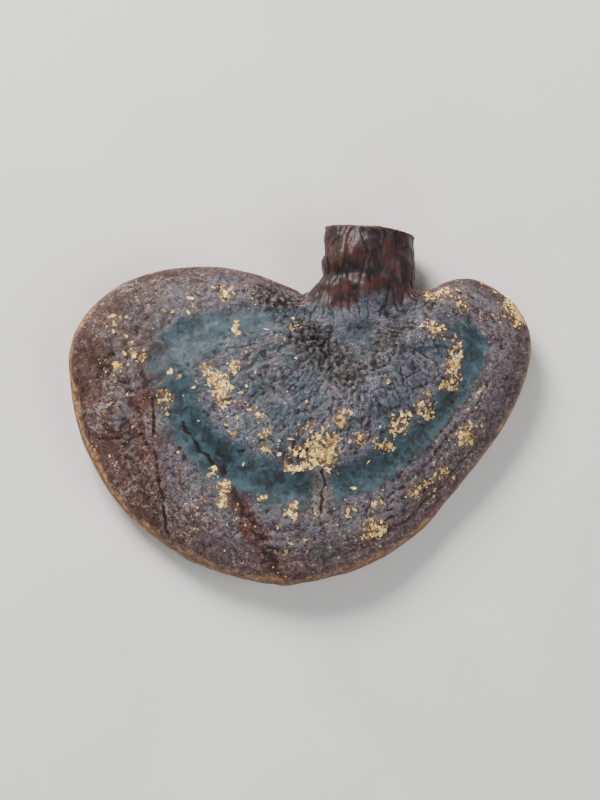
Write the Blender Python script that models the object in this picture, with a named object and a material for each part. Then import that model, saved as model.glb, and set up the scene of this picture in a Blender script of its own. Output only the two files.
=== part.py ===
"""A dried reishi, as picked and cut from its log: a kidney-shaped woody cap and the short stem
that it grew from, one solid, lying on its pore face with the stem's sawn end at the back.

Run it with blender --background --python part.py. Metres, +Z up. The stem points to +Y and the
cap's free margin to -Y. The origin is the middle of the footprint, on the surface it lies on.
"""

import math

import bmesh
import bpy
import numpy as np
from mathutils import Matrix, Vector, noise

MM = 0.001

# Driving dimensions, in millimetres. Plan places are measured from the root, the point at the
# back of the cap where the stem enters it.
MARGIN_PLAN = [
    (40.8, -4.0),
    (37.6, 7.0),
    (26.0, 13.4),
    (13.0, 8.5),
    (1.0, -2.0),
    (-10.0, 8.0),
    (-24.0, 15.2),
    (-42.0, 16.6),
    (-59.0, 10.6),
    (-67.9, -3.0),
    (-66.3, -19.5),
    (-57.8, -37.6),
    (-41.2, -52.0),
    (-18.0, -58.9),
    (4.5, -53.4),
    (20.5, -39.0),
    (34.0, -21.5),
]
EDGE_WANDER = 0.7
DOME_CENTRE = (-12.0, -20.0)
DEPTH_TO_FRONT = 38.0

# The rim's height, the dome above it and the pore face's bulge below it.
RIM_HEIGHT = 5.7
RIM_WAVE = 1.0
RIM_WAVES_AROUND = 3
RIM_WAVE_TURN = math.radians(15)
RIM_WANDER = 1.1
TOP_RISE = 13.6
TOP_FLATNESS = 0.38
BACK_WEDGE = 0.2
UNDER_DROP = 8.2
UNDER_LUMPS = 0.5

# The top's relief: last year's furrow with a shelf inside it, slow lumps, and a fold in front.
FURROW_PLACE = 0.67
FURROW_WIDTH = 0.045
FURROW_DEPTH = 1.1
SHELF_STEP = 1.0
SHELF_EASE = 0.1
LUMP_SIZES = (17.0, 8.0)
LUMP_HEIGHTS = (1.35, 0.81)
FOLD_START = (-41.0, -24.0)
FOLD_END = (-19.0, -55.0)
FOLD_DEPTH = 1.2
FOLD_WIDTH = 3.2

# The funnel where the cap dips to its stem, and the raised arms on both sides of it.
VALLEY_APEX_Y = -11.0
VALLEY_MOUTH_Y = 3.0
VALLEY_HALF_WIDTH = 3.0
VALLEY_SPREAD = 0.78
VALLEY_DEPTH = 6.5
ARM_HEIGHT = 2.4

STEM_KNOBS = 0.22
STEM_KNOB_SIZE = 10.0
# The stem's centre line as (x, y, z) with its half width and half height at each station.
STEM_STATIONS = [
    ((-1.0, -22.0, 8.0), 8.0, 4.0),
    ((-0.5, -10.0, 8.2), 13.5, 5.4),
    ((0.5, 1.0, 8.4), 14.8, 6.4),
    ((1.2, 9.0, 8.2), 13.2, 7.0),
    ((2.0, 16.0, 8.0), 10.9, 7.4),
    ((3.2, 24.0, 8.3), 10.7, 7.9),
    ((4.6, 32.0, 8.8), 11.4, 8.2),
]
SAW_PLACE = (3.2, 24.5, 8.4)
SAW_NORMAL = (0.12, 1.0, 0.10)

# How finely each shape is made.
MARGIN_STEPS = 12
AROUND = 288
RINGS = 40
STEM_AROUND = 36
STEM_STEPS = 6
SKIN_SIZE = 1.0
SMOOTH_PASSES = 24
TRIANGLES = 8400
CUTTER_SIZE = 400.0

# One place each in the field of unevenness, so that no two surfaces repeat each other.
EDGE_SEED = 15.9
RIM_SEED = 30.5
TOP_SEEDS = (3.1, 7.7)
UNDER_SEED = 11.3
STEM_SEED = 21.0


def smoothstep(low, high, value):
    """0 below low, 1 above high, and a smooth turn between them."""
    share = np.clip((value - low) / (high - low), 0.0, 1.0)
    return share * share * (3.0 - 2.0 * share)


def hill(value, centre, width):
    """A smooth hill of height 1 at the centre."""
    return np.exp(-(((value - centre) / width) ** 2))


def smooth_between(before, start, end, after, t):
    """The place a share t of the way from start to end on a smooth curve (Catmull-Rom)."""
    bend = 2 * before - 5 * start + 4 * end - after
    twist = 3 * (start - end) + after - before
    return start + 0.5 * t * ((end - before) + t * (bend + t * twist))


def closed_curve(points, per_span):
    """A smooth closed curve through the points, as an array of places."""
    count = len(points)
    places = []
    for i in range(count):
        four = [np.array(points[(i + k - 1) % count]) for k in range(4)]
        places += [smooth_between(*four, step / per_span) for step in range(per_span)]
    return np.array(places)


def margin_by_angle(outline, angles):
    """The margin's distance from the dome's centre in each direction."""
    offset = outline - np.array(DOME_CENTRE)
    direction = np.arctan2(offset[:, 1], offset[:, 0])
    order = np.argsort(direction)
    reach = np.interp(angles, direction[order], np.hypot(*offset[order].T), period=2 * math.pi)
    ring = 30.0 * np.stack([np.cos(angles), np.sin(angles)])
    return reach + EDGE_WANDER * lumps(*ring, 9.0, EDGE_SEED)


def growth_share(x, y, outline):
    """How far the cap had grown when it reached each place: 0 at the root, 1 at the margin."""
    free_edge = outline[np.hypot(outline[:, 0], outline[:, 1]) > 18.0]
    from_root = np.hypot(x, y)
    to_margin = np.min(np.hypot(x[..., None] - free_edge[:, 0], y[..., None] - free_edge[:, 1]), axis=-1)
    return from_root / (from_root + to_margin + 1e-6)


def lumps(x, y, size, seed):
    """A slow, smooth unevenness between about -1 and 1."""
    places = np.stack([x / size, y / size, np.full_like(x, seed)], axis=-1).reshape(-1, 3)
    return np.array([noise.noise(Vector(p)) for p in places]).reshape(x.shape)


def root_valley(x, y):
    """The height that the funnel and its arms add at each place."""
    spread = VALLEY_HALF_WIDTH + VALLEY_SPREAD * np.maximum(y - VALLEY_APEX_Y, 0.0)
    across = np.abs(x + 0.5) / spread
    opening = smoothstep(VALLEY_APEX_Y - 2.0, VALLEY_MOUTH_Y, y)
    arms = ARM_HEIGHT * hill(across, 1.35, 0.4)
    funnel = VALLEY_DEPTH * hill(across, 0.0, 0.75)
    return (arms - funnel) * opening


def front_fold(x, y):
    """A shallow fold across the front left of the margin, 0 to 1."""
    start = np.array(FOLD_START)
    along = np.array(FOLD_END) - start
    length = np.hypot(*along)
    along = along / length
    distance = (x - start[0]) * along[0] + (y - start[1]) * along[1]
    aside = (x - start[0]) * along[1] - (y - start[1]) * along[0]
    ends = smoothstep(-4.0, 8.0, distance) * smoothstep(length + 4.0, length - 8.0, distance)
    return hill(aside, 0.0, FOLD_WIDTH) * ends


def top_relief(x, y, outline):
    """The furrow, shelf, funnel, fold and lumps on the cap's top."""
    growth = growth_share(x, y, outline)
    shelf_edge = FURROW_PLACE + 0.01
    relief = SHELF_STEP * smoothstep(shelf_edge, shelf_edge - SHELF_EASE, growth)
    relief -= FURROW_DEPTH * hill(growth, FURROW_PLACE, FURROW_WIDTH)
    relief += root_valley(x, y) - FOLD_DEPTH * front_fold(x, y)
    for size, height, seed in zip(LUMP_SIZES, LUMP_HEIGHTS, TOP_SEEDS):
        relief += height * lumps(x, y, size, seed)
    return relief


def cap_surfaces(outline):
    """Ring by ring, the cap's top and pore face as arrays of places in millimetres."""
    angles = np.linspace(0.0, 2 * math.pi, AROUND, endpoint=False)
    reach = margin_by_angle(outline, angles)
    shares = np.sin(np.linspace(0.0, math.pi / 2, RINGS + 1))[1:]
    share, angle = np.meshgrid(shares, angles, indexing="ij")
    x = DOME_CENTRE[0] + share * reach * np.cos(angle)
    y = DOME_CENTRE[1] + share * reach * np.sin(angle)
    rim = RIM_HEIGHT + share**4 * RIM_WANDER * lumps(x, y, 14.0, RIM_SEED)
    rim += RIM_WAVE * share**2 * np.sin(RIM_WAVES_AROUND * angle - RIM_WAVE_TURN)
    round_top = np.sqrt(1.0 - share**8)
    dome = (1.0 - TOP_FLATNESS) * (1.0 - share**2.2) + TOP_FLATNESS * round_top
    wedge = 1.0 + BACK_WEDGE * (y - DOME_CENTRE[1]) / DEPTH_TO_FRONT
    inside = 1.0 - share**6
    top = rim + TOP_RISE * wedge * dome + inside * top_relief(x, y, outline)
    drop = np.sqrt(inside) * (0.25 + 0.75 * share**1.5)
    under = rim - UNDER_DROP * drop + inside * UNDER_LUMPS * lumps(x, y, 12.0, UNDER_SEED)
    return np.stack([x, y, top], axis=-1), np.stack([x, y, under], axis=-1)


def skin(mesh, rings, close_start, close_end):
    """Adds a closed tube through the rings of places, with a point or a lid at each end."""
    loops = [[mesh.verts.new(Vector(p) * MM) for p in ring] for ring in rings]
    count = len(loops[0])
    for first, second in zip(loops, loops[1:]):
        for i in range(count):
            j = (i + 1) % count
            mesh.faces.new((first[i], first[j], second[j], second[i]))
    for loop, tip, turn in ((loops[0], close_start, -1), (loops[-1], close_end, 1)):
        point = mesh.verts.new(Vector(tip) * MM)
        for i in range(count):
            pair = (loop[i], loop[(i + 1) % count])
            mesh.faces.new((*pair[::turn], point))


def object_from(mesh, name):
    """A scene object from a bmesh, with its faces pointing out."""
    bmesh.ops.recalc_face_normals(mesh, faces=mesh.faces)
    data = bpy.data.meshes.new(name)
    mesh.to_mesh(data)
    mesh.free()
    made = bpy.data.objects.new(name, data)
    bpy.context.scene.collection.objects.link(made)
    return made


def make_cap():
    outline = closed_curve(MARGIN_PLAN, MARGIN_STEPS)
    top, under = cap_surfaces(outline)
    mesh = bmesh.new()
    rings = [*top, *under[-2::-1]]
    skin(mesh, rings, top[0].mean(axis=0), under[0].mean(axis=0))
    return object_from(mesh, "cap_with_stem")


def stem_station(place):
    """The stem's centre, half width and half height at a place along its stations."""
    rows = [np.array([*centre, wide, high]) for centre, wide, high in STEM_STATIONS]
    i = min(int(place), len(rows) - 2)
    before, after = rows[max(i - 1, 0)], rows[min(i + 2, len(rows) - 1)]
    return smooth_between(before, rows[i], rows[i + 1], after, place - i)


def make_stem():
    """The stem as a knobby tube that starts inside the cap and runs past its sawn end."""
    places = np.linspace(0.0, len(STEM_STATIONS) - 1, STEM_STEPS * (len(STEM_STATIONS) - 1) + 1)
    angles = np.linspace(0.0, 2 * math.pi, STEM_AROUND, endpoint=False)
    rings = []
    for place in places:
        x, y, z, wide, high = stem_station(place)
        on_ring = STEM_KNOB_SIZE * np.stack([np.cos(angles), np.sin(angles)])
        knobs = 1.0 + STEM_KNOBS * lumps(on_ring[0], on_ring[1] + y, STEM_KNOB_SIZE, STEM_SEED)
        across = wide * knobs * np.cos(angles)
        up = high * knobs * np.sin(angles)
        rings.append(np.stack([x + across, np.full_like(across, y), z + up], axis=-1))
    mesh = bmesh.new()
    skin(mesh, rings, rings[0].mean(axis=0), rings[-1].mean(axis=0))
    return object_from(mesh, "stem_stock")


def helper(made):
    """Marks an object as a tool that isn't part of the mushroom."""
    made.hide_render = True
    made.display_type = "WIRE"
    return made


def make_block(name, face_place, face_normal):
    """A large cutting block with the middle of one face at a place, lying on the side it faces."""
    mesh = bmesh.new()
    bmesh.ops.create_cube(mesh, size=CUTTER_SIZE * MM)
    bmesh.ops.translate(mesh, verts=mesh.verts, vec=(0, 0, CUTTER_SIZE * MM / 2))
    turn = Vector(face_normal).to_track_quat("Z", "Y").to_matrix().to_4x4()
    bmesh.ops.transform(mesh, matrix=Matrix.Translation(Vector(face_place) * MM) @ turn, verts=mesh.verts)
    return helper(object_from(mesh, name))


def add_boolean(target, tool, operation):
    modifier = target.modifiers.new(f"{operation.title()} {tool.name}", "BOOLEAN")
    modifier.operation = operation
    modifier.object = tool


def add_thinning(target):
    """Thins a fine skin to few enough triangles, most of them where it bends."""
    graph = bpy.context.evaluated_depsgraph_get()
    skin_mesh = target.evaluated_get(graph).to_mesh()
    skin_mesh.calc_loop_triangles()
    share = TRIANGLES / len(skin_mesh.loop_triangles)
    thinned = target.modifiers.new("Thinned", "DECIMATE")
    thinned.ratio = share


def crust_material():
    material = bpy.data.materials.new("dark_crust")
    material.use_nodes = True
    shader = material.node_tree.nodes["Principled BSDF"]
    shader.inputs["Base Color"].default_value = (0.055, 0.032, 0.03, 1.0)
    shader.inputs["Roughness"].default_value = 0.55
    shader.inputs["Metallic"].default_value = 0.0
    return material


def evaluated_box(made):
    """Lowest and highest corner of an object with its modifiers, in the world."""
    bpy.context.view_layer.update()
    graph = bpy.context.evaluated_depsgraph_get()
    shape = made.evaluated_get(graph)
    points = np.array([made.matrix_world @ v.co for v in shape.to_mesh().vertices])
    shape.to_mesh_clear()
    return points.min(axis=0), points.max(axis=0)


def main():
    for old in list(bpy.data.objects):
        bpy.data.objects.remove(old)
    cap = make_cap()
    stem = helper(make_stem())
    add_boolean(cap, stem, "UNION")
    grown = cap.modifiers.new("Grown together", "REMESH")
    grown.mode = "VOXEL"
    grown.voxel_size = SKIN_SIZE * MM
    eased = cap.modifiers.new("Eased", "SMOOTH")
    eased.factor = 0.5
    eased.iterations = SMOOTH_PASSES
    add_thinning(cap)
    resting = make_block("resting_plane", (0.0, 0.0, 0.0), (0.0, 0.0, -1.0))
    saw = make_block("saw_cut", SAW_PLACE, SAW_NORMAL)
    add_boolean(cap, resting, "DIFFERENCE")
    add_boolean(cap, saw, "DIFFERENCE")
    cap.data.materials.append(crust_material())
    cap.data.shade_smooth()

    footprint = bpy.data.objects.new("footprint", None)
    bpy.context.scene.collection.objects.link(footprint)
    for made in (cap, stem, resting, saw):
        made.parent = footprint
    low, high = evaluated_box(cap)
    footprint.location = (-(low[0] + high[0]) / 2, -(low[1] + high[1]) / 2, 0.0)


main()
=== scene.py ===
"""The looks of a dried reishi that lies on its pore face: a wrinkled, dark lacquered crust with
growth rings, scaled patches that show golden flesh, a pale pore face and a sawn stem.

Sizes are in millimetres unless a name says otherwise. Places on the cap are measured from the
root, where the cap joins its stem: across is to the right and back is towards the stem.
"""

import math
import random

import bmesh
import bpy
import numpy as np
from mathutils import Matrix, Vector, kdtree, noise


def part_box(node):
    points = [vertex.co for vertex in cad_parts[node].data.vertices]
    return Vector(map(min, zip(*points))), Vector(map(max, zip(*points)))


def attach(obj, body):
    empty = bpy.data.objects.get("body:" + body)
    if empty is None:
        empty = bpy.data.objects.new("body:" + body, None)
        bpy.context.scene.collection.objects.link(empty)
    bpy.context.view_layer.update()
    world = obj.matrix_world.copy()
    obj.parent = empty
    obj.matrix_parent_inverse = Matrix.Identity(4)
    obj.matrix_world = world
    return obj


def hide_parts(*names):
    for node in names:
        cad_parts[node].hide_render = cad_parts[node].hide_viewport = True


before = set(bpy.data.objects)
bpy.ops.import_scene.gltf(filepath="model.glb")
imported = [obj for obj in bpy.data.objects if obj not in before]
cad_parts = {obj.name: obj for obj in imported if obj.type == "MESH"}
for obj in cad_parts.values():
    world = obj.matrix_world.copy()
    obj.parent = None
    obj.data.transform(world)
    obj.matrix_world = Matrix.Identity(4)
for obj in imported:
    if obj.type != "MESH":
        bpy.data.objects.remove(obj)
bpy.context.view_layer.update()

MM = 0.001
NODE = "cap_with_stem"
LOW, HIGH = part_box(NODE)
ROOT = Vector((LOW.x + 0.6272 * (HIGH.x - LOW.x), LOW.y + 0.6928 * (HIGH.y - LOW.y), 0.0))
DOME_CENTRE = (-12.0, -20.0)

# The sawn end of the stem.
SAW_PLACE = (3.2, 24.5, 8.4)
SAW_NORMAL = Vector((0.12, 1.0, 0.10)).normalized()

# How finely the skin is made, and how closely its margin is followed.
SKIN_SIZE = 0.33
EASE_PASSES = 44
SKIN_TRIANGLES = 192000
MARGIN_BINS = 120
MARGIN_POINTS = 2400

# How far the skin and its flakes may rise above the solid's top.
SKIN_RISE = 0.15
FLAKE_RISE = 0.4

# Where the growth rings lie, as a share of the way from the root to the margin.
BAND = 0.66
RINGS_OUTSIDE = (0.745, 0.80, 0.845, 0.885, 0.93)
RINGS_INSIDE = (0.30, 0.41, 0.50, 0.57)

# A step of one across the fan of wrinkles is as much as this many millimetres away from the root.
FAN_REACH = 240.0

# Lines on the cap, from point to point.
LEFT_ARM = [(-21.0, 7.0), (-18.0, 4.0), (-12.0, -3.0), (-6.0, -8.0), (-3.0, -12.0)]
RIGHT_ARM = [(16.0, 7.0), (13.0, 4.0), (8.5, -1.0), (5.5, -6.5), (3.5, -10.5)]
FRONT_CRACK = [(-8.2, -31.5), (-8.7, -35.0), (-8.3, -39.0), (-9.2, -43.5)]
SLANT_CRACK = [(-40.5, -23.0), (-39.0, -26.0), (-35.5, -29.5), (-31.0, -34.0), (-28.5, -38.5)]
FRONT_FOLD = [(-31.0, -34.0), (-27.0, -42.0), (-22.5, -50.0), (-18.5, -57.5)]
LOBE_CREASE = [(-59.5, -25.4), (-54.0, -25.8), (-49.5, -25.2)]
LOBE_SEAM = [
    (-47.4, -17.5),
    (-47.0, -24.0),
    (-46.6, -29.5),
    (-45.7, -34.0),
    (-44.7, -43.5),
    (-44.0, -47.5),
]

# Each crack or fold: its line, half its width, its depth, and how far it bends from that line.
CRACKS = [
    (FRONT_CRACK, 0.28, 0.50, 1.0),
    (SLANT_CRACK, 0.40, 0.45, 1.0),
    (FRONT_FOLD, 1.3, 0.42, 1.0),
    (LOBE_CREASE, 0.40, 0.30, 1.0),
    (LOBE_SEAM, 0.45, 0.50, 0.45),
]

# Patches where the crust has scaled: place, length across and along, and how much has gone.
SCALED = [
    (-9.2, -30.6, 6.2, 5.4, 1.3),
    (-12.6, -33.2, 5.6, 2.2, 1.0),
    (-16.6, -33.4, 3.2, 2.0, 0.85),
    (-10.8, -25.4, 7.6, 4.8, 0.8),
    (-6.0, -28.0, 3.2, 4.6, 0.95),
    (-4.6, -22.4, 3.8, 4.4, 1.0),
    (-14.9, -29.2, 3.2, 4.4, 0.8),
    (-31.2, -15.6, 4.4, 5.8, 1.15),
    (-34.8, -10.8, 3.0, 3.4, 0.95),
    (-33.2, -13.2, 3.2, 3.2, 1.0),
    (-28.5, -10.6, 2.0, 5.0, 0.95),
    (-30.4, -19.0, 3.2, 2.4, 0.85),
    (-28.3, -0.5, 2.4, 5.0, 1.0),
    (-30.9, 7.6, 3.4, 4.6, 1.0),
    (-25.6, -19.2, 4.0, 4.0, 0.9),
    (-23.4, -22.4, 3.4, 3.4, 0.9),
    (-22.1, -26.2, 3.0, 3.0, 0.95),
    (-21.2, -29.2, 2.6, 2.4, 0.85),
    (-44.6, -16.9, 5.6, 6.0, 0.95),
    (-43.0, -12.0, 4.4, 4.4, 0.85),
    (-50.8, -6.9, 5.0, 4.4, 0.8),
    (21.7, -10.8, 3.8, 8.6, 1.15),
    (20.6, -14.6, 5.6, 2.4, 1.1),
    (16.8, -1.6, 6.0, 4.4, 0.8),
    (24.0, -25.0, 4.4, 6.0, 1.0),
    (17.6, 7.4, 10.0, 4.4, 1.05),
    (23.5, 5.0, 4.0, 8.0, 0.85),
    (15.5, -21.0, 5.4, 7.4, 0.85),
    (9.0, -23.5, 6.0, 6.0, 0.8),
    (-0.4, -27.0, 4.0, 3.6, 0.9),
    (5.6, -28.6, 5.0, 3.6, 0.95),
    (12.4, -37.9, 4.4, 4.0, 0.95),
    (15.4, -36.4, 4.4, 3.6, 0.9),
    (19.0, -33.8, 5.0, 3.4, 0.95),
    (3.1, -47.1, 5.0, 4.2, 1.2),
    (3.8, -41.4, 3.4, 4.2, 0.85),
    (-2.4, -43.0, 4.0, 4.0, 0.75),
    (-15.5, -42.5, 3.4, 4.0, 1.0),
    (-33.4, -34.0, 3.0, 4.4, 0.95),
    (-30.9, -37.2, 3.4, 4.0, 1.05),
    (-31.4, -40.4, 3.0, 3.6, 1.0),
    (-22.1, -39.8, 2.2, 2.4, 0.9),
    (-57.0, 1.5, 8.0, 5.0, 0.72),
    (-56.0, -9.5, 7.0, 8.0, 0.7),
    (37.2, 7.0, 5.0, 9.0, 1.6),
    (31.0, 11.0, 6.0, 3.4, 0.85),
]
SCALED_EDGE = 0.62

# The loose flakes: how many, and the least and most that one measures.
FLAKE_COUNT = 320
FLAKE_SIZE = (0.20, 0.62)
FLAKE_THICKNESS = (0.012, 0.026)
FLAKE_CORNERS = (5, 8)

# Each part of the finish: its dark and its light colour, in everyday 0 to 255 steps.
TONES = {
    "slate": ((22, 32, 40), (74, 90, 102)),
    "umber": ((30, 24, 32), (84, 73, 86)),
    "teal": ((24, 44, 50), (70, 100, 108)),
    "lilac": ((42, 37, 45), (118, 108, 117)),
    "rust": ((36, 22, 22), (96, 68, 62)),
    "ash": ((44, 52, 56), (104, 112, 114)),
    "bark": ((11, 8, 10), (50, 40, 40)),
    "band": ((22, 43, 50), (50, 84, 94)),
    "rubbed": ((58, 52, 48), (122, 112, 98)),
    "lobe": ((20, 10, 11), (80, 55, 50)),
    "fold": ((28, 11, 11), (100, 50, 40)),
    "margin": ((30, 16, 16), (92, 57, 48)),
    "powder": ((134, 146, 156), (164, 154, 150)),
    "brown_flesh": ((130, 92, 54), (192, 148, 88)),
    "gold_flesh": ((218, 172, 96), (248, 210, 126)),
    "fringe": ((70, 46, 32), (136, 98, 64)),
    "rim": ((106, 62, 34), (184, 132, 74)),
    "worn_rim": ((118, 74, 44), (196, 150, 94)),
    "lacquer": ((22, 12, 13), (66, 32, 26)),
    "sawn_flesh": ((88, 54, 32), (160, 112, 66)),
}
PORE_SIZE = 0.36
CHIP_SIZES = (1.25, 0.52)

# Each studio light: its name, azimuth, height in degrees, distance and size in metres, power, colour.
SOFTBOXES = [
    ("key", -150, 40, 0.75, (0.30, 0.30), 10.0, (1.0, 0.985, 0.96)),
    ("fill", 68, 40, 0.9, (0.5, 0.4), 3.4, (0.95, 0.97, 1.0)),
    ("front", -20, 34, 0.9, (0.5, 0.3), 2.0, (0.97, 0.985, 1.0)),
]
CAMERA_HEIGHT = 78
CAMERA_DISTANCE = 0.435
CAMERA_LENS = 85.0


# ---------------------------------------------------------------- small helpers


def smoothstep(low, high, value):
    """0 below low, 1 above high, and a smooth turn between them."""
    share = np.clip((value - low) / (high - low), 0.0, 1.0)
    return share * share * (3.0 - 2.0 * share)


def hill(value, centre, width):
    """A smooth hill of height 1 at the centre."""
    return np.exp(-(((value - centre) / width) ** 2))


def grain(places, size, octaves=1, seed=0.0):
    """Smooth unevenness, about -1 to 1, whose lumps have that size."""
    shifted = places / size + np.array([seed * 7.31, seed * 3.17, seed * 5.77])
    if octaves == 1:
        values = [noise.noise(Vector(p)) for p in shifted]
    else:
        values = [noise.fractal(Vector(p), 0.9, 2.03, octaves) for p in shifted]
    return np.array(values)


def line_reach(across, back, points):
    """Each place's distance from a line of straight runs."""
    nearest = np.full(across.shape, np.inf)
    for (x0, y0), (x1, y1) in zip(points, points[1:]):
        run = np.array([x1 - x0, y1 - y0])
        share = ((across - x0) * run[0] + (back - y0) * run[1]) / (run @ run)
        share = np.clip(share, 0.0, 1.0)
        reach = np.hypot(across - x0 - share * run[0], back - y0 - share * run[1])
        nearest = np.minimum(nearest, reach)
    return nearest


def only(piece):
    """Selects one object and nothing else."""
    bpy.ops.object.select_all(action="DESELECT")
    piece.select_set(True)
    bpy.context.view_layer.objects.active = piece


def apply_modifier(piece, kind, **settings):
    """Adds a modifier with its settings and applies it."""
    only(piece)
    modifier = piece.modifiers.new(kind.title(), kind)
    for name, value in settings.items():
        setattr(modifier, name, value)
    bpy.ops.object.modifier_apply(modifier=modifier.name)


def points_of(mesh):
    flat = np.empty(len(mesh.vertices) * 3)
    mesh.vertices.foreach_get("co", flat)
    return flat.reshape(-1, 3)


def normals_of(mesh):
    flat = np.empty(len(mesh.vertices) * 3)
    mesh.vertices.foreach_get("normal", flat)
    return flat.reshape(-1, 3)


def move_points(mesh, places):
    mesh.vertices.foreach_set("co", places.ravel())
    mesh.update()


def store(mesh, name, values):
    """Keeps one number, or one vector, for each point, for the finish to read."""
    kind, field = ("FLOAT", "value") if values.ndim == 1 else ("FLOAT_VECTOR", "vector")
    attribute = mesh.attributes.new(name, kind, "POINT")
    attribute.data.foreach_set(field, values.astype(np.float32).ravel())


def averaged(mesh, values, passes):
    """Each point's value, evened out with its neighbours' that many times."""
    edges = np.empty(len(mesh.edges) * 2, dtype=np.int64)
    mesh.edges.foreach_get("vertices", edges)
    first, second = edges.reshape(-1, 2).T
    count = len(mesh.vertices)
    neighbours = np.bincount(first, minlength=count) + np.bincount(second, minlength=count)
    neighbours = np.maximum(neighbours, 1)
    even = values.astype(float)
    for _ in range(passes):
        columns = []
        for column in even.reshape(count, -1).T:
            total = np.bincount(first, column[second], count)
            total = total + np.bincount(second, column[first], count)
            columns.append(0.5 * column + 0.5 * total / neighbours)
        even = np.stack(columns, axis=-1).reshape(values.shape)
    return even


# ---------------------------------------------------------------- the mushroom's skin


def on_cap(places):
    """Places in the row frame, as across, back and up in millimetres from the root."""
    return (places - np.array(ROOT)) / MM


def margin_places():
    """The cap's free margin, as closely set points all round but for the stem."""
    spots = on_cap(points_of(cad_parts[NODE].data))
    offset = spots[:, :2] - np.array(DOME_CENTRE)
    turn = np.arctan2(offset[:, 1], offset[:, 0])
    reach = np.hypot(*offset.T)
    bins = ((turn + math.pi) / (2 * math.pi) * MARGIN_BINS).astype(int) % MARGIN_BINS
    farthest = np.array([reach[bins == number].max() for number in range(MARGIN_BINS)])
    farthest = 0.25 * np.roll(farthest, 1) + 0.5 * farthest + 0.25 * np.roll(farthest, -1)
    middles = (np.arange(-1, MARGIN_BINS + 1) + 0.5) / MARGIN_BINS * 2 * math.pi - math.pi
    around = np.linspace(-math.pi, math.pi, MARGIN_POINTS, endpoint=False)
    far = np.interp(around, middles, np.concatenate([farthest[-1:], farthest, farthest[:1]]))
    across = DOME_CENTRE[0] + far * np.cos(around)
    back = DOME_CENTRE[1] + far * np.sin(around)
    on_stem = (np.abs(across - 2.0) < 16.0) & (back > 4.0)
    free = (np.hypot(across, back) > 18.0) & ~on_stem
    return list(zip(across[free], back[free]))


def growth_share(across, back):
    """How far the cap had grown at each place: 0 at the root, 1 at the margin."""
    margin = margin_places()
    tree = kdtree.KDTree(len(margin))
    for number, (x, y) in enumerate(margin):
        tree.insert((x, y, 0.0), number)
    tree.balance()
    to_margin = np.array([tree.find((x, y, 0.0))[2] for x, y in zip(across, back)])
    from_root = np.hypot(across, back)
    return from_root / (from_root + to_margin + 1e-6)


class Zones:
    """What each point of the skin is: where it lies, which zone it is in, how far it had grown."""

    def __init__(self, mesh):
        self.spots = on_cap(points_of(mesh))
        self.across, self.back, self.up = self.spots.T
        self.facing = averaged(mesh, normals_of(mesh), 3)
        self.reach = np.hypot(self.across, self.back)
        self.find_growth()
        self.find_stem()
        self.find_faces()
        self.find_bark()
        self.calm_rim = 1.0 - 0.82 * smoothstep(0.86, 0.96, self.growth)
        self.right = smoothstep(14.0, 26.0, self.across)
        self.worn = self.worn_share()
        ragged = 0.55 * grain(self.spots, 1.15, 3, 7.0) + 0.34 * grain(self.spots, 0.62, 2, 8.0)
        self.scaled = (self.worn + ragged) * smoothstep(0.2, 0.6, self.top)

    def find_growth(self):
        """The growth rings, wandering a little, and the direction away from the root."""
        wander = 0.022 * grain(self.spots, 9.0, 3, 1.0) + 0.008 * grain(self.spots, 2.4, 2, 2.0)
        self.growth = np.clip(growth_share(self.across, self.back), 0.0, 1.0)
        self.ring = self.growth + wander
        self.turn = np.arctan2(self.across, -self.back)
        self.fan = np.stack([np.sin(self.turn), np.cos(self.turn), self.reach / FAN_REACH], axis=-1)

    def find_stem(self):
        """The stem, and the part of it that is lacquered red-black all over."""
        beside = np.abs(self.across - 0.5 - 0.1 * self.back)
        width = 15.5 - 0.10 * self.back + 0.8 * grain(self.spots, 4.0, 2, 3.0)
        self.stem = smoothstep(-1.5, 4.0, self.back + 2.0 * grain(self.spots, 5.0, 2, 4.0))
        self.stem = self.stem * smoothstep(width, width - 2.5, beside)
        self.stalk = smoothstep(-1.0, 13.0, self.back + 4.0 * grain(self.spots, 6.0, 3, 33.0))
        self.stalk = np.maximum(self.stalk, smoothstep(0.35, -0.25, self.facing[:, 2])) * self.stem

    def find_faces(self):
        """The sawn end, the pore face below and the crust on top."""
        to_saw = (self.spots - np.array(SAW_PLACE)) @ np.array(SAW_NORMAL)
        flat_on = self.facing @ np.array(SAW_NORMAL)
        self.cut = smoothstep(-0.45, -0.2, to_saw) * smoothstep(0.6, 0.85, flat_on)
        ragged = 0.10 * grain(self.spots, 3.0, 3, 5.0)
        self.under = smoothstep(-0.30, -0.48, self.facing[:, 2] + ragged)
        self.under = self.under * (1.0 - self.stem) * (1.0 - self.cut)
        self.top = smoothstep(-0.25, 0.25, self.facing[:, 2]) * (1.0 - self.stem) * (1.0 - self.cut)

    def find_bark(self):
        """The two rough dark arms that run down from the root."""
        arms = np.minimum(
            line_reach(self.across, self.back, LEFT_ARM) * 0.9,
            line_reach(self.across, self.back, RIGHT_ARM) * 1.12,
        )
        self.bark = smoothstep(5.2, 1.6, arms + 1.6 * grain(self.spots, 3.0, 3, 6.0)) * self.top

    def worn_share(self):
        """How much of the crust has scaled away round each place, from 0 to about 1."""
        share = np.zeros(len(self.spots))
        for x, y, long_across, long_back, strength in SCALED:
            away_across = (self.across - x) / (0.5 * long_across)
            away_back = (self.back - y) / (0.5 * long_back)
            away = np.hypot(away_across, away_back)
            share = np.maximum(share, 0.60 * strength * np.exp(-0.50 * away**2))
        beside_band = 0.10 * hill(self.ring, BAND - 0.10, 0.05) - 0.10 * hill(self.ring, BAND, 0.05)
        specks = 0.20 * smoothstep(0.18, 0.55, self.growth) * smoothstep(1.0, 0.82, self.growth)
        return np.maximum(share, specks) + beside_band


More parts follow.
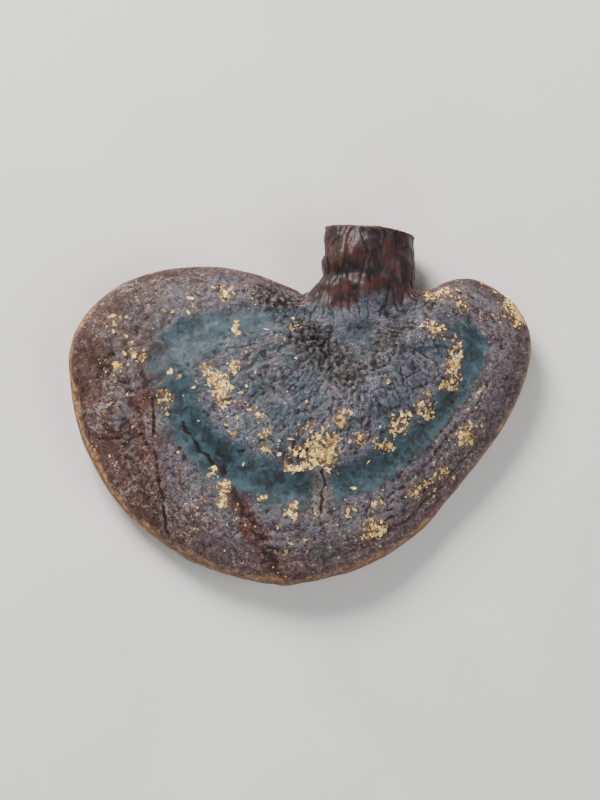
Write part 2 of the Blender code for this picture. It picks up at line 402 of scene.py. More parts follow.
def concentric_relief(zones):
    """The rings that each season's growth left."""
    uneven = (0.60 + 0.7 * grain(zones.spots, 13.0, 2, 11.0)) * (1.0 - 0.45 * zones.right)
    relief = -0.30 * hill(zones.ring, BAND + 0.012, 0.030)
    relief += 0.12 * hill(zones.ring, BAND - 0.085, 0.045)
    for number, place in enumerate(RINGS_OUTSIDE):
        strength = np.clip(uneven + 0.3 * math.sin(2.1 * number), 0.1, 1.2)
        relief -= 0.20 * strength * hill(zones.ring, place, 0.010)
        relief += 0.13 * strength * hill(zones.ring, place - 0.022, 0.014)
    for number, place in enumerate(RINGS_INSIDE):
        strength = np.clip(uneven + 0.3 * math.cos(1.7 * number), 0.1, 1.2)
        relief -= 0.22 * strength * hill(zones.ring, place, 0.014)
    relief += 0.30 * hill(zones.growth, 0.965, 0.022) - 0.24 * hill(zones.growth, 0.915, 0.02)
    return relief * (1.0 - 0.6 * zones.bark)


def radial_relief(zones):
    """The wrinkles that fan out from the root, deepest on the old inner part."""
    swirl = 0.075 * grain(zones.spots, 8.0, 3, 12.0)[:, None]
    fan = zones.fan + swirl
    broad = grain(fan * np.array([8.0, 8.0, 15.0]), 1.0, 1, 13.0)
    fine = grain(fan * np.array([19.0, 19.0, 26.0]), 1.0, 1, 14.0)
    bent = zones.spots + 1.6 * np.stack([grain(zones.spots, 5.0, 2, 34.0)] * 3, axis=-1)
    folds = grain(bent * np.array([1.0, 1.0, 0.3]), 4.6, 1, 35.0)
    furrows = -smoothstep(0.15, 0.0, np.abs(broad))
    threads = -smoothstep(0.20, 0.0, np.abs(fine))
    threads = threads * (0.35 + 0.65 * smoothstep(-0.35, 0.25, grain(zones.spots, 5.0, 2, 41.0)))
    creases = -smoothstep(0.12, 0.0, np.abs(folds))
    inner = smoothstep(BAND - 0.03, BAND - 0.12, zones.ring) * smoothstep(2.5, 9.0, zones.reach)
    outer = smoothstep(BAND + 0.05, BAND + 0.12, zones.ring)
    relief = inner * (0.20 * furrows + 0.15 * threads + 0.13 * creases + 0.20 * broad)
    shallow = 0.12 * furrows + 0.12 * threads + 0.06 * creases
    return relief + outer * zones.calm_rim * (1.0 - 0.6 * zones.right) * shallow


def lumpy_relief(zones):
    """Lumps, knots and grain that follow no line."""
    calm = 1.0 - 0.75 * hill(zones.ring, BAND, 0.045)
    outer = smoothstep(BAND + 0.03, BAND + 0.09, zones.ring)
    calm = calm * zones.calm_rim
    relief = 0.34 * grain(zones.spots, 6.5, 2, 15.0) * zones.calm_rim * (1.0 - 0.4 * zones.right)
    relief += calm * 0.17 * grain(zones.spots, 2.6, 3, 16.0) * (0.5 + 0.6 * outer)
    relief += calm * 0.10 * grain(zones.spots, 0.9, 2, 17.0)
    bark = grain(zones.spots * np.array([1.0, 1.0, 0.6]), 1.5, 4, 18.0)
    relief += zones.bark * (0.55 * bark - 0.15)
    pits = smoothstep(0.30, 0.62, grain(zones.spots, 1.9, 2, 19.0))
    relief -= 0.22 * pits * calm * (1.0 - outer)
    return relief


def crack_relief(zones):
    """The depth of the cracks, the front fold and the left lobe's crease and seam."""
    across = zones.across + 1.0 * grain(zones.spots, 4.5, 3, 20.0)
    back = zones.back + 1.0 * grain(zones.spots, 4.5, 3, 37.0)
    broken = 0.45 + 0.55 * smoothstep(-0.30, 0.25, grain(zones.spots, 3.2, 2, 38.0))
    depth = np.zeros(len(zones.spots))
    for points, width, deep, bend in CRACKS:
        bent_across = zones.across + bend * (across - zones.across)
        bent_back = zones.back + bend * (back - zones.back)
        reach = line_reach(bent_across, bent_back, points)
        depth = np.maximum(depth, deep * broken * hill(reach, 0.0, width))
    return depth * zones.top


def fold_share(zones):
    """How near each place is to the front fold or the lobe's seam, where the crust is redder."""
    reach = np.minimum(
        line_reach(zones.across, zones.back, FRONT_FOLD),
        line_reach(zones.across + 2.0, zones.back, LOBE_SEAM),
    )
    return smoothstep(4.2, 0.8, reach + 1.8 * grain(zones.spots, 3.0, 3, 39.0)) * zones.top


def halo_share(zones):
    """How near each place is to the front crack, where the crust is rubbed to a greyish tan."""
    reach = line_reach(zones.across, zones.back, FRONT_CRACK)
    return smoothstep(3.6, 0.6, reach + 1.6 * grain(zones.spots, 2.2, 3, 42.0)) * zones.top


def stem_relief(zones):
    """Knots and lengthwise wrinkles of the stem."""
    bent = zones.spots + 1.2 * grain(zones.spots, 6.0, 1, 36.0)[:, None]
    wrinkles = grain(bent * np.array([1.0, 0.17, 1.0]), 2.3, 1, 21.0)
    wrinkles = -smoothstep(0.16, 0.0, np.abs(wrinkles))
    knots = grain(zones.spots, 8.0, 2, 22.0)
    necks = -0.5 * hill(zones.back + 0.15 * zones.across, 12.5, 1.6) + 0.35 * hill(zones.back, 17.5, 2.4)
    return 0.26 * wrinkles + 1.25 * knots + necks + 0.08 * grain(zones.spots, 1.2, 3, 23.0)


def under_relief(zones):
    """The pore face: a step down from the crust's lip, slow bulges and a few small dents."""
    step = -0.30 * zones.under - 0.18 * hill(zones.under, 0.5, 0.25)
    bulges = 0.14 * grain(zones.spots, 7.0, 2, 24.0) + 0.035 * grain(zones.spots, 1.1, 2, 25.0)
    dents = -0.20 * smoothstep(0.42, 0.7, grain(zones.spots, 4.2, 2, 26.0))
    return step + zones.under * (bulges + dents)


def cut_relief(zones):
    """Saw marks across the sawn end, finer than the fibres that they tore."""
    marks = np.sin(zones.up / 0.62 + 0.25 * zones.across + 0.8 * grain(zones.spots, 3.0, 1, 27.0))
    return zones.cut * (0.05 * marks + 0.07 * grain(zones.spots, 0.9, 2, 28.0) - 0.05)


def ease_skin(piece):
    """Smooths the facets out of the skin, but for the saw cut's edge."""
    spots = on_cap(points_of(piece.data))
    from_saw = -(spots - np.array(SAW_PLACE)) @ np.array(SAW_NORMAL)
    free = smoothstep(0.35, 1.8, from_saw)
    group = piece.vertex_groups.new(name="free")
    for level in range(1, 11):
        chosen = np.flatnonzero(np.round(free * 10) == level)
        group.add(chosen.tolist(), level / 10, "REPLACE")
    apply_modifier(piece, "SMOOTH", factor=0.5, iterations=EASE_PASSES, vertex_group="free")


def make_skin():
    """The whole mushroom as one closed skin with all its relief."""
    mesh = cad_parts[NODE].data.copy()
    mesh.name = "reishi_skin"
    piece = bpy.data.objects.new("reishi_skin", mesh)
    bpy.context.scene.collection.objects.link(piece)
    only(piece)
    bpy.ops.object.mode_set(mode="EDIT")
    bpy.ops.mesh.select_all(action="SELECT")
    bpy.ops.mesh.remove_doubles(threshold=1e-6)
    bpy.ops.object.mode_set(mode="OBJECT")
    apply_modifier(piece, "REMESH", mode="VOXEL", voxel_size=SKIN_SIZE * MM)
    ease_skin(piece)
    mesh = piece.data

    zones = Zones(mesh)
    cracks = crack_relief(zones)
    relief = zones.top * (concentric_relief(zones) + radial_relief(zones) + lumpy_relief(zones))
    relief -= cracks
    raised = smoothstep(SCALED_EDGE - 0.05, SCALED_EDGE + 0.12, zones.scaled)
    relief += 0.06 * raised * (0.7 + grain(zones.spots, 1.1, 2, 29.0))
    relief += zones.stem * (1.0 - zones.cut) * stem_relief(zones)
    relief += under_relief(zones) + cut_relief(zones)
    side = (1.0 - zones.top) * (1.0 - zones.under) * (1.0 - zones.stem) * (1.0 - zones.cut)
    waves = 0.22 * grain(zones.spots, 5.0, 2, 30.0) + 0.04 * grain(zones.spots, 1.5, 2, 31.0)
    relief += side * waves
    places = points_of(mesh) + zones.facing * (relief * MM)[:, None]
    places[:, 2] = np.clip(places[:, 2], 0.0, HIGH.z + SKIN_RISE * MM)
    move_points(mesh, places)

    hollow = np.einsum("ij,ij->i", averaged(mesh, places, 14) - places, normals_of(mesh)) / MM
    lobe = smoothstep(-40.0, -52.0, zones.across + 3.0 * grain(zones.spots, 8.0, 2, 32.0))
    fields = {
        "growth": zones.growth,
        "ring": zones.ring,
        "fan": zones.fan,
        "turn": zones.turn,
        "under": zones.under,
        "stem": zones.stem,
        "sawn": zones.cut,
        "bark": zones.bark,
        "scaled": zones.scaled,
        "worn": zones.worn * zones.top,
        "stalk": zones.stalk,
        "facing": zones.facing[:, 2],
        "hollow": np.clip(hollow, -1.0, 1.0),
        "cracked": cracks,
        "fold": fold_share(zones),
        "halo": halo_share(zones),
        "lobe": lobe,
    }
    for name, values in fields.items():
        store(mesh, name, values)
    thin_skin(piece)
    piece.data.shade_smooth()
    return piece


def thin_skin(piece):
    """Thins the skin where it bends least, until it has few enough triangles."""
    piece.data.calc_loop_triangles()
    count = len(piece.data.loop_triangles)
    if count > SKIN_TRIANGLES:
        apply_modifier(piece, "DECIMATE", ratio=SKIN_TRIANGLES / count)


# ---------------------------------------------------------------- flakes of flesh


def make_flakes(skin):
    """Thin ragged flakes that lift off the scaled patches, all in one mesh."""
    draw = random.Random(41)
    mesh = skin.data
    scaled = np.empty(len(mesh.vertices), dtype=np.float32)
    mesh.attributes["scaled"].data.foreach_get("value", scaled)
    places, facings = points_of(mesh), normals_of(mesh)
    able = np.flatnonzero((scaled > SCALED_EDGE + 0.05) & (facings[:, 2] > 0.3))
    chosen = draw.sample(able.tolist(), min(FLAKE_COUNT, len(able)))
    flakes = bmesh.new()
    for number in chosen:
        add_flake(flakes, Vector(places[number]), Vector(facings[number]), draw)
    for point in flakes.verts:
        point.co.z = min(point.co.z, HIGH.z + FLAKE_RISE * MM)
    data = bpy.data.meshes.new("flesh_flakes")
    flakes.to_mesh(data)
    flakes.free()
    piece = bpy.data.objects.new("flesh_flakes", data)
    bpy.context.scene.collection.objects.link(piece)
    return piece


def add_flake(flakes, place, facing, draw):
    """One flake: a thin, bent and ragged leaf that barely lifts off the surface."""
    size = draw.uniform(*FLAKE_SIZE) * MM
    if draw.random() < 0.12:
        size *= 1.5
    thickness = draw.uniform(*FLAKE_THICKNESS) * MM
    corners = draw.randint(*FLAKE_CORNERS)
    lean_back = Matrix.Rotation(draw.uniform(-0.3, 0.3), 4, "X")
    lean = lean_back @ Matrix.Rotation(draw.uniform(-0.3, 0.3), 4, "Y")
    turn = facing.to_track_quat("Z", "Y").to_matrix().to_4x4()
    spin = Matrix.Rotation(draw.uniform(0, 2 * math.pi), 4, "Z")
    stand = Matrix.Translation(place + facing * draw.uniform(0.0, 0.06) * MM) @ turn @ lean @ spin
    long = draw.uniform(1.0, 2.3)
    curl = draw.uniform(-0.15, 0.40)
    top, bottom = [], []
    for corner in range(corners):
        angle = 2 * math.pi * (corner + draw.uniform(-0.35, 0.35)) / corners
        away = size * draw.uniform(0.35, 1.05)
        x, y = long * away * math.cos(angle), away * math.sin(angle)
        bend = curl * x * x / (long * size)
        top.append(flakes.verts.new(stand @ Vector((x, y, thickness + bend))))
        bottom.append(flakes.verts.new(stand @ Vector((x * 0.92, y * 0.92, -thickness + bend))))
    crown = flakes.verts.new(stand @ Vector((0.0, 0.0, thickness * draw.uniform(1.0, 1.6))))
    base = flakes.verts.new(stand @ Vector((0.0, 0.0, -thickness)))
    for corner in range(corners):
        after = (corner + 1) % corners
        flakes.faces.new((top[corner], top[after], crown))
        flakes.faces.new((bottom[after], bottom[corner], base))
        flakes.faces.new((bottom[corner], bottom[after], top[after], top[corner]))


# ---------------------------------------------------------------- finishes


def shade(red, green, blue):
    """A colour given in everyday 0 to 255 steps, as the shader's linear colour."""
    steps = [value / 255 for value in (red, green, blue)]
    linear = [v / 12.92 if v <= 0.04045 else ((v + 0.055) / 1.055) ** 2.4 for v in steps]
    return (*linear, 1.0)


class Strand:
    """A value in a finish, with the arithmetic that adds Math nodes."""

    def __init__(self, finish, socket):
        self.finish = finish
        self.socket = socket

    def join(self, operation, first, second):
        return self.finish.add("ShaderNodeMath", {0: first, 1: second}, operation=operation)

    def __add__(self, other):
        return self.join("ADD", self, other)

    def __sub__(self, other):
        return self.join("SUBTRACT", self, other)

    def __rsub__(self, other):
        return self.join("SUBTRACT", other, self)

    def __mul__(self, other):
        return self.join("MULTIPLY", self, other)

    def __abs__(self):
        return self.join("ABSOLUTE", self, 0.0)

    def or_more(self, other):
        """The larger of the two."""
        return self.join("MAXIMUM", self, other)

    __radd__ = __add__
    __rmul__ = __mul__


class Finish:
    """A material being mixed, and the few ways that its nodes are added."""

    def __init__(self, name):
        self.material = bpy.data.materials.new(name)
        self.material.use_nodes = True
        self.tree = self.material.node_tree
        self.tree.nodes.clear()
        self.place = self.add("ShaderNodeTexCoord", out="Object")

    def add(self, kind, sockets=None, out=0, **settings):
        """Adds a node: its settings first, then its sockets' values or links."""
        node = self.tree.nodes.new(kind)
        for name, value in settings.items():
            setattr(node, name, value)
        for name, value in (sockets or {}).items():
            if isinstance(value, Strand):
                self.tree.links.new(value.socket, node.inputs[name])
            else:
                node.inputs[name].default_value = value
        return Strand(self, node.outputs[out])

    def read(self, name, out="Fac"):
        return self.add("ShaderNodeAttribute", out=out, attribute_name=name)

    def rough(self, size, detail=3.0, roughness=0.55, place=None, swirl=0.0):
        """Cloudy unevenness, 0 to 1, in lumps of that many millimetres, or thousandths of the fan."""
        sockets = {"Vector": place or self.place, "Scale": 1000.0 / size}
        sockets.update({"Detail": detail, "Roughness": roughness, "Distortion": swirl})
        return self.add("ShaderNodeTexNoise", sockets)

    def cells(self, size):
        """The distance to the middle of the nearest cell, as a share of that size in millimetres."""
        sockets = {"Vector": self.place, "Scale": 1000.0 / size}
        return self.add("ShaderNodeTexVoronoi", sockets, "Distance", feature="F1")

    def ease(self, value, low, high):
        """0 at low, 1 at high, and a smooth turn between them."""
        sockets = {"Value": value, "From Min": low, "From Max": high}
        return self.add("ShaderNodeMapRange", sockets, interpolation_type="SMOOTHSTEP")

    def peak(self, value, centre, width):
        """1 at the centre, 0 past that width on both sides."""
        return self.ease(abs(value - centre), width, 0.0)

    def mix(self, first, second, share):
        """First where share is 0 and second where it is 1, as colours."""
        return self.add("ShaderNodeMix", {0: share, 6: first, 7: second}, 2, data_type="RGBA")

    def tones(self, name, share):
        """A part's dark colour where share is 0 and its light one where it is 1."""
        dark, light = TONES[name]
        return self.mix(shade(*dark), shade(*light), share)

    def done(self, colour, roughness, height, lift, coat=0.0, coat_roughness=0.3, gloss=0.5):
        """Puts the shader together: lift is the bump's height in millimetres."""
        bumps = {"Strength": 1.0, "Distance": lift * MM, "Height": height}
        bump = self.add("ShaderNodeBump", bumps, "Normal")
        sockets = {
            "Base Color": colour,
            "Roughness": roughness,
            "Normal": bump,
            "Coat Weight": coat,
            "Coat Roughness": coat_roughness,
            "Specular IOR Level": gloss,
        }
        shader = self.add("ShaderNodeBsdfPrincipled", sockets)
        self.add_output(shader)
        return self.material

    def add_output(self, shader):
        node = self.tree.nodes.new("ShaderNodeOutputMaterial")
        self.tree.links.new(shader.socket, node.inputs["Surface"])


def flesh_colour(finish, tone):
    """Golden tan corky flesh: each chip's tone runs from brown to pale gold."""
    mottle = finish.ease(finish.rough(0.7, 4.0), 0.35, 0.65)
    brown = finish.tones("brown_flesh", mottle)
    gold = finish.tones("gold_flesh", mottle)
    colour = finish.mix(brown, gold, finish.ease(tone, 0.05, 0.35))
    colour = finish.mix(colour, shade(255, 232, 158), finish.ease(tone, 0.50, 0.85) * 0.9)
    crumbs = finish.ease(finish.rough(0.45, 3.0), 0.56, 0.66)
    return finish.mix(colour, shade(92, 58, 34), crumbs * 0.55)


class Grains:
    """The unevenness that the crust's colours share, from broad clouds to fine grit."""

    def __init__(self, finish):
        fan = finish.read("fan", "Vector")
        self.cloud = finish.rough(8.0, 4.0, swirl=0.6)
        self.knots = finish.rough(2.6, 5.0, 0.6, swirl=1.2)
        self.dust = finish.rough(0.9, 4.0, 0.65, swirl=1.5)
        self.grit = finish.rough(0.6, 3.0, 0.6, swirl=1.0)
        self.fibres = finish.rough(75.0, 3.0, 0.6, fan)
        self.streaks = finish.rough(26.0, 3.0, 0.65, fan)
        self.dusty = finish.ease(self.dust, 0.36, 0.64)


def inner_crust(finish, grains):
    """Inside the band: slate and umber that fan out, with teal patches, most of them at the left."""
    slate = finish.tones("slate", finish.ease(0.6 * grains.knots + 0.4 * grains.streaks, 0.36, 0.62))
    umber = finish.tones("umber", finish.ease(0.6 * grains.dust + 0.4 * grains.streaks, 0.38, 0.60))
    patchy = 0.30 * grains.cloud + 0.30 * grains.knots + 0.20 * grains.fibres + 0.20 * grains.streaks
    colour = finish.mix(slate, umber, finish.ease(patchy, 0.46, 0.53))
    leftward = finish.ease(finish.read("turn"), 0.5, -0.7)
    patches = finish.ease(finish.rough(5.5, 4.0, 0.6, swirl=1.4), 0.50, 0.58)
    return finish.mix(colour, finish.tones("teal", grains.dusty), patches * (0.22 + 0.42 * leftward))


def outer_crust(finish, grains):
    """Outside the band: lilac brown, with rusty and ash-grey patches."""
    lilac = finish.tones("lilac", finish.ease(0.5 * grains.knots + 0.5 * grains.dust, 0.38, 0.62))
    rusty = finish.ease(0.6 * grains.cloud + 0.4 * grains.knots, 0.50, 0.57)
    colour = finish.mix(lilac, finish.tones("rust", grains.dusty), rusty)
    patches = finish.ease(finish.rough(5.0, 4.0, 0.6, swirl=1.4), 0.51, 0.59)
    return finish.mix(colour, finish.tones("ash", grains.dusty), patches * 0.65)


def with_bark(finish, grains, colour):
    """The crust with the rough dark arms on it, and pale grit specks in them painted as glints."""
    bark = finish.tones("bark", finish.ease(grains.dust, 0.45, 0.70))
    # Painted highlight: pale specks that stand in for glints on the grit.
    bark = finish.mix(bark, shade(150, 140, 132), finish.ease(grains.grit, 0.62, 0.68) * 0.8)
    return finish.mix(colour, bark, finish.read("bark") * 0.92)


def band_share(finish, grains, ring):
    """How much of the dark growth band shows: it fades at its ends and beside the front crack."""
    turn = finish.read("turn") + 0.9 * (grains.cloud - 0.5) + 0.5 * (grains.knots - 0.5)
    reach = (0.45 + 0.55 * finish.ease(turn, -1.75, -1.35)) * finish.ease(turn, -2.0, -1.75)
    reach = reach * finish.ease(turn, 1.62, 1.40)
    broken = finish.ease(0.6 * grains.knots + 0.4 * grains.dust, 0.36, 0.47)
    band = finish.peak(ring + 0.05 * (grains.knots - 0.5), BAND + 0.004, 0.115) * reach
    band = finish.ease(band + 0.35 * (grains.dust - 0.5), 0.04, 0.62) * (0.62 + 0.38 * broken)
    return band * (1 - 0.8 * finish.read("halo"))


def with_band(finish, grains, colour, band):
    """The crust with its dark blue-green band, and a rubbed grey tan beside the front crack."""
    deep = finish.tones("band", finish.ease(finish.rough(3.2, 5.0, swirl=1.0), 0.36, 0.64))
    colour = finish.mix(colour, deep, band * 0.95)
    rubbed = finish.tones("rubbed", finish.ease(grains.dust, 0.38, 0.62))
    return finish.mix(colour, rubbed, finish.read("halo") * 0.6)


def with_warm_parts(finish, grains, colour, growth, band):
    """The crust with its red-brown left lobe, front fold and margin."""
    lobe = finish.read("lobe")
    warm = finish.tones("lobe", finish.ease(finish.rough(3.8, 4.0, 0.55, swirl=1.4), 0.42, 0.58))
    misty = 0.7 * finish.rough(4.6, 4.0, 0.6, swirl=1.6) + 0.3 * grains.dust
    warm = finish.mix(warm, shade(84, 86, 93), finish.ease(misty, 0.50, 0.58) * 0.75)
    colour = finish.mix(colour, warm, lobe * 0.92)
    fold = finish.tones("fold", grains.dusty)
    colour = finish.mix(colour, fold, finish.read("fold") * 0.85 * (1 - band))
    uneven = 0.16 * (grains.cloud - 0.5) + 0.10 * (grains.knots - 0.5)
    margin = finish.tones("margin", finish.ease(0.5 * grains.knots + 0.5 * grains.dust, 0.36, 0.64))
    return finish.mix(colour, margin, finish.ease(growth + uneven, 0.81, 0.95) * (0.66 + 0.22 * lobe))


def with_threads(finish, grains, colour, ring, band):
    """The crust with pale hairs that fan out inside the band, and pale curls all over."""
    hairs = finish.peak(grains.streaks, 0.5, 0.035) * finish.ease(ring, BAND + 0.02, BAND - 0.10)
    curls = finish.peak(finish.rough(1.5, 3.0, 0.5, swirl=2.0), 0.5, 0.028)
    threads = hairs.or_more(curls * 0.8)
    threads = threads * finish.ease(0.5 * grains.cloud + 0.5 * grains.knots, 0.42, 0.54)
    return finish.mix(colour, shade(150, 155, 164), threads * (1 - 0.75 * band) * 0.42)


def with_weather(finish, grains, colour, ring, hollow, band):
    """The crust with clustered powder and soot, painted highlights on the ridges and painted shade in
    the hollows.
    """
    clumps = 0.5 * grains.grit + 0.25 * grains.cloud + 0.25 * grains.knots
    bloom = finish.ease(clumps, 0.55, 0.59) * (1 - 0.8 * band)
    powder = finish.tones("powder", finish.ease(ring, BAND - 0.05, BAND + 0.08))
    colour = finish.mix(colour, powder, bloom * 0.58)
    soot = finish.ease(0.6 * grains.dust + 0.4 * grains.cloud, 0.44, 0.38) * (1 - 0.7 * band)
    colour = finish.mix(colour, shade(13, 11, 14), soot * 0.5)
    # Painted highlight: the ridges are lightened to grey, as if lit.
    worn = finish.ease(hollow, -0.03, -0.15)
    colour = finish.mix(colour, shade(120, 121, 127), worn * 0.30 * (1 - band))
    # Painted shade: the hollows are darkened to near black.
    painted_hollow_shade = finish.ease(hollow, 0.01, 0.13)
    return finish.mix(colour, shade(11, 8, 10), painted_hollow_shade * 0.8)


def crust_colour(finish, ring, growth, hollow):
    """The crust alone, from the slate inner part to the red-brown margin, and the band's share."""
    grains = Grains(finish)
    outside = finish.ease(ring, BAND - 0.02, BAND + 0.09)
    colour = finish.mix(inner_crust(finish, grains), outer_crust(finish, grains), outside)
    colour = with_bark(finish, grains, colour)
    band = band_share(finish, grains, ring)
    colour = with_band(finish, grains, colour, band)
    colour = with_warm_parts(finish, grains, colour, growth, band)
    colour = with_threads(finish, grains, colour, ring, band)
    return with_weather(finish, grains, colour, ring, hollow, band), band


def stem_colour(finish, hollow):
    """Red-black lacquer, rubbed lighter on the knots, with painted shade in its hollows."""
    lacquer = finish.tones("lacquer", finish.ease(finish.rough(3.4, 4.0), 0.38, 0.70))
    rubbed = finish.ease(hollow, -0.03, -0.18)
    lacquer = finish.mix(lacquer, shade(104, 66, 46), rubbed * 0.4)
    dust = finish.ease(finish.rough(1.0, 4.0, 0.65), 0.56, 0.80)
    lacquer = finish.mix(lacquer, shade(112, 104, 104), dust * 0.25)
    # Painted shade: the stem's hollows are darkened.
    return finish.mix(lacquer, shade(12, 8, 9), finish.ease(hollow, 0.02, 0.18) * 0.7)


def pore_colour(finish, hollow):
    """Dry ochre pore face, stained in clouds, with its pores as fine dark points and painted shade in
    its hollows.
    """
    stain = finish.ease(finish.rough(9.0, 4.0), 0.40, 0.66)
    face = finish.mix(shade(186, 150, 100), shade(134, 94, 56), stain)
    bruise = finish.ease(finish.rough(3.0, 4.0, 0.6), 0.60, 0.74)
    face = finish.mix(face, shade(82, 52, 32), bruise * 0.6)
    pores = finish.ease(finish.cells(PORE_SIZE), 0.0, 0.34)
    face = finish.mix(shade(74, 46, 28), face, pores)
    # Painted shade: the pore face's hollows are darkened.
    return finish.mix(face, shade(54, 34, 22), finish.ease(hollow, 0.03, 0.2) * 0.6)


def sawn_colour(finish):
    """Corky brown flesh, with darker clouds in it."""
    flesh = finish.tones("sawn_flesh", finish.ease(finish.rough(0.8, 4.0, 0.6), 0.35, 0.68))
    core = finish.ease(finish.rough(5.0, 3.0), 0.42, 0.62)
    return finish.mix(flesh, shade(74, 42, 26), core * 0.5)


def chip_pattern(finish, size, bareness):
    """Ragged chips of crust that have come off: how bare each place is, and each chip's tone."""
    sockets = {"Vector": finish.place, "Scale": 1000.0 / (0.9 * size), "Detail": 3.0}
    ragged = finish.add("ShaderNodeTexNoise", sockets, "Color")
    shift = finish.add("ShaderNodeVectorMath", {0: ragged, "Scale": 1.5 * size * MM}, operation="SCALE")
    bent = finish.add("ShaderNodeVectorMath", {0: finish.place, 1: shift}, operation="ADD")
    sockets = {"Vector": bent, "Scale": 1000.0 / size}
    dice = finish.add("ShaderNodeTexVoronoi", sockets, "Color", feature="F1")
    chance = finish.add("ShaderNodeSeparateColor", {0: dice}, "Red")
    tone = finish.add("ShaderNodeSeparateColor", {0: dice}, "Green")
    gap = finish.add("ShaderNodeTexVoronoi", sockets, "Distance", feature="DISTANCE_TO_EDGE")
    return finish.ease(bareness - chance, 0.01, 0.05) * finish.ease(gap, 0.02, 0.07), tone


def with_chips(finish, colour, ring, stem, band, crumble):
    """The skin with its scaled patches and single specks of flesh, and how bare each place is."""
    bare = finish.read("scaled") + 0.40 * (crumble - 0.5)
    worn = finish.ease(finish.read("worn"), 0.14, 0.80)
    broken = finish.ease(bare, SCALED_EDGE - 0.42, SCALED_EDGE + 0.10)
    clusters = finish.ease(finish.rough(3.6, 4.0, 0.6, swirl=1.0), 0.52, 0.66)
    specks = (0.006 + 0.11 * clusters) * (0.45 + 0.55 * finish.ease(ring, BAND, BAND + 0.06))
    specks = specks * (1 - band) * finish.read("facing") * (1 - stem)
    large_size, small_size = CHIP_SIZES
    large, large_tone = chip_pattern(finish, large_size, worn * (0.16 + 0.66 * broken))
    small, small_tone = chip_pattern(finish, small_size, worn * (0.14 + 0.52 * broken) + specks)
    torn = large.or_more(small)
    fringe = finish.ease(bare, SCALED_EDGE - 0.34, SCALED_EDGE + 0.04) * finish.ease(worn, 0.05, 0.35)
    colour = finish.mix(colour, finish.tones("fringe", finish.ease(crumble, 0.36, 0.66)), fringe * 0.75)
    pale = 0.35 + 0.55 * small_tone
    small_tone = pale + fringe * (small_tone - pale)
    tone = small_tone + large * (large_tone - small_tone)
    return finish.mix(colour, flesh_colour(finish, tone), torn), torn


def with_rim(finish, colour, growth, under, stem, crumble):
    """The skin with its golden tan rim, patchy and rubbed, down to the lip over the pore face."""
    lobe = finish.read("lobe")
    patchy = finish.ease(finish.rough(5.0, 5.0, 0.6, swirl=1.0), 0.36, 0.62)
    level = finish.read("facing") + 0.30 * (crumble - 0.5) + 0.4 * (patchy - 0.5)
    rim = finish.peak(level, 0.14, 0.44) * (1 - stem)
    tan = finish.tones("rim", finish.ease(0.5 * crumble + 0.5 * patchy, 0.30, 0.75))
    stain = finish.ease(finish.rough(2.6, 5.0, 0.62, swirl=1.2), 0.49, 0.60)
    tan = finish.mix(tan, shade(78, 46, 34), stain * 0.6)
    colour = finish.mix(colour, tan, rim * (0.12 + 0.50 * patchy + 0.25 * lobe))
    edge = growth + 0.018 * (patchy - 0.5) + 0.020 * (crumble - 0.5)
    line = finish.peak(edge, 0.987, 0.018) * (1 - stem)
    worn = finish.tones("worn_rim", finish.ease(finish.rough(1.2, 4.0, 0.65), 0.36, 0.62))
    colour = finish.mix(colour, worn, line * (0.15 + 0.40 * patchy + 0.30 * lobe))
    lip = finish.peak(under, 0.30, 0.34)
    return finish.mix(colour, shade(168, 116, 62), lip * (1 - stem) * 0.8)


def mushroom_finish():
    """One finish for the whole skin: crust, scaled patches, pore face, stem and sawn end."""
    finish = Finish("reishi_crust")
    ring, growth, hollow = finish.read("ring"), finish.read("growth"), finish.read("hollow")
    under, stem, sawn = finish.read("under"), finish.read("stem"), finish.read("sawn")
    stalk = finish.read("stalk")
    crumble = finish.rough(0.42, 3.0, 0.6)

    colour, band = crust_colour(finish, ring, growth, hollow)
    # Painted shade: the cracks are darkened by their depth.
    cracked = finish.ease(finish.read("cracked"), 0.10, 0.40)
    colour = finish.mix(colour, shade(14, 9, 9), cracked * 0.75)
    colour = finish.mix(colour, stem_colour(finish, hollow), finish.ease(stalk, 0.15, 0.75))
    colour, torn = with_chips(finish, colour, ring, stem, band, crumble)
    colour = with_rim(finish, colour, growth, under, stem, crumble)
    colour = finish.mix(colour, pore_colour(finish, hollow), finish.ease(under, 0.42, 0.62))
    colour = finish.mix(colour, sawn_colour(finish), sawn)

    dull = finish.ease(torn + under + sawn, 0.2, 0.8)
    speckle = finish.rough(0.6, 4.0, 0.6)
    roughness = 0.62 + 0.26 * (speckle - 0.5) - 0.04 * band + 0.28 * dull
    lacquer = 0.03 + 0.02 * band + 0.24 * stalk + 0.12 * finish.ease(speckle, 0.52, 0.6)
    wrinkles = finish.rough(26.0, 4.0, 0.65, finish.read("fan", "Vector"))
    fine = 0.6 * finish.rough(0.55, 5.0, 0.65) + 0.6 * wrinkles
    pores = finish.ease(finish.cells(PORE_SIZE), 0.0, 0.30) * finish.ease(under, 0.4, 0.7)
    height = fine * (1 - 0.6 * band) + 0.35 * torn * (0.5 + crumble) + 0.7 * pores
    coat = lacquer * (1 - dull)
    return finish.done(colour, roughness, height, 0.20, coat, coat_roughness=0.34, gloss=0.22)


def flake_finish():
    """Dry golden flesh for the loose flakes."""
    finish = Finish("dry_flesh")
    height = finish.rough(0.35, 4.0, 0.6)
    chance = finish.rough(1.3, 2.0)
    roughness = 0.62 + 0.3 * (finish.rough(0.7, 2.0) - 0.5)
    return finish.done(flesh_colour(finish, finish.ease(chance, 0.35, 0.65)), roughness, height, 0.05)


# ---------------------------------------------------------------- floor, lights and camera


def plain_finish(name, colour, roughness):
    """A plain matt paint with a very faint unevenness."""
    finish = Finish(name)
    cloud = finish.rough(60.0, 2.0)
    tint = finish.mix(colour, shade(226, 225, 222), finish.ease(cloud, 0.3, 0.7))
    return finish.done(tint, roughness + 0.04 * (cloud - 0.5), cloud, 0.01)


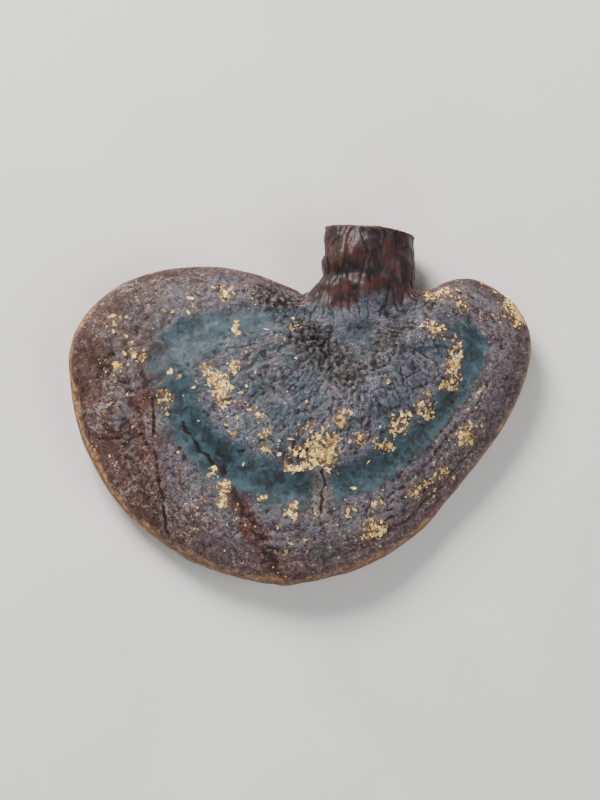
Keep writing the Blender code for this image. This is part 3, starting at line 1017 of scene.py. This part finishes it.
def make_floor():
    """The plain pale surface that the mushroom lies on."""
    bpy.ops.object.select_all(action="DESELECT")
    bpy.ops.mesh.primitive_plane_add(size=6.0)
    floor = bpy.context.object
    floor.name = "floor"
    floor.data.materials.append(plain_finish("floor_paint", shade(232, 231, 228), 0.8))


def aim(thing, target):
    """Turns a light or the camera to look at a place."""
    thing.rotation_mode = "QUATERNION"
    thing.rotation_quaternion = (Vector(target) - thing.location).to_track_quat("-Z", "Y")


def place_from(azimuth, elevation, distance, target):
    """The place at that distance from a target, seen from that side and height in degrees."""
    turn, tilt = math.radians(azimuth), math.radians(elevation)
    away = Vector((math.sin(turn) * math.cos(tilt), -math.cos(turn) * math.cos(tilt), math.sin(tilt)))
    return Vector(target) + away * distance


def add_softbox(name, azimuth, elevation, distance, size, power, colour, target):
    """A soft rectangular light that faces the target."""
    light = bpy.data.lights.new(name, "AREA")
    light.shape = "RECTANGLE"
    light.size, light.size_y = size
    light.energy = power
    light.color = colour
    lamp = bpy.data.objects.new(name, light)
    bpy.context.scene.collection.objects.link(lamp)
    lamp.location = place_from(azimuth, elevation, distance, target)
    aim(lamp, target)


def make_lights(target):
    """Three softboxes and an even, cool grey studio round them."""
    for softbox in SOFTBOXES:
        add_softbox(*softbox, target)
    world = bpy.data.worlds.new("studio")
    bpy.context.scene.world = world
    world.use_nodes = True
    backdrop = world.node_tree.nodes["Background"]
    backdrop.inputs["Color"].default_value = (0.80, 0.86, 0.92, 1.0)
    backdrop.inputs["Strength"].default_value = 0.30


def make_camera(target):
    """The camera, in front of the cap and nearly above it."""
    camera = bpy.data.objects.new("camera", bpy.data.cameras.new("camera"))
    bpy.context.scene.collection.objects.link(camera)
    camera.data.lens = CAMERA_LENS
    camera.data.clip_start = 0.01
    camera.location = place_from(0, CAMERA_HEIGHT, CAMERA_DISTANCE, target)
    aim(camera, target)
    bpy.context.scene.camera = camera


def main():
    """Makes the skin and its flakes, then the floor, the lights and the camera."""
    skin = make_skin()
    skin.data.materials.clear()
    skin.data.materials.append(mushroom_finish())
    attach(skin, "root")
    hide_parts(NODE)

    flakes = make_flakes(skin)
    flakes.data.materials.append(flake_finish())
    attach(flakes, "root")

    middle = (LOW + HIGH) / 2
    make_floor()
    make_lights(middle)
    make_camera(middle)


main()
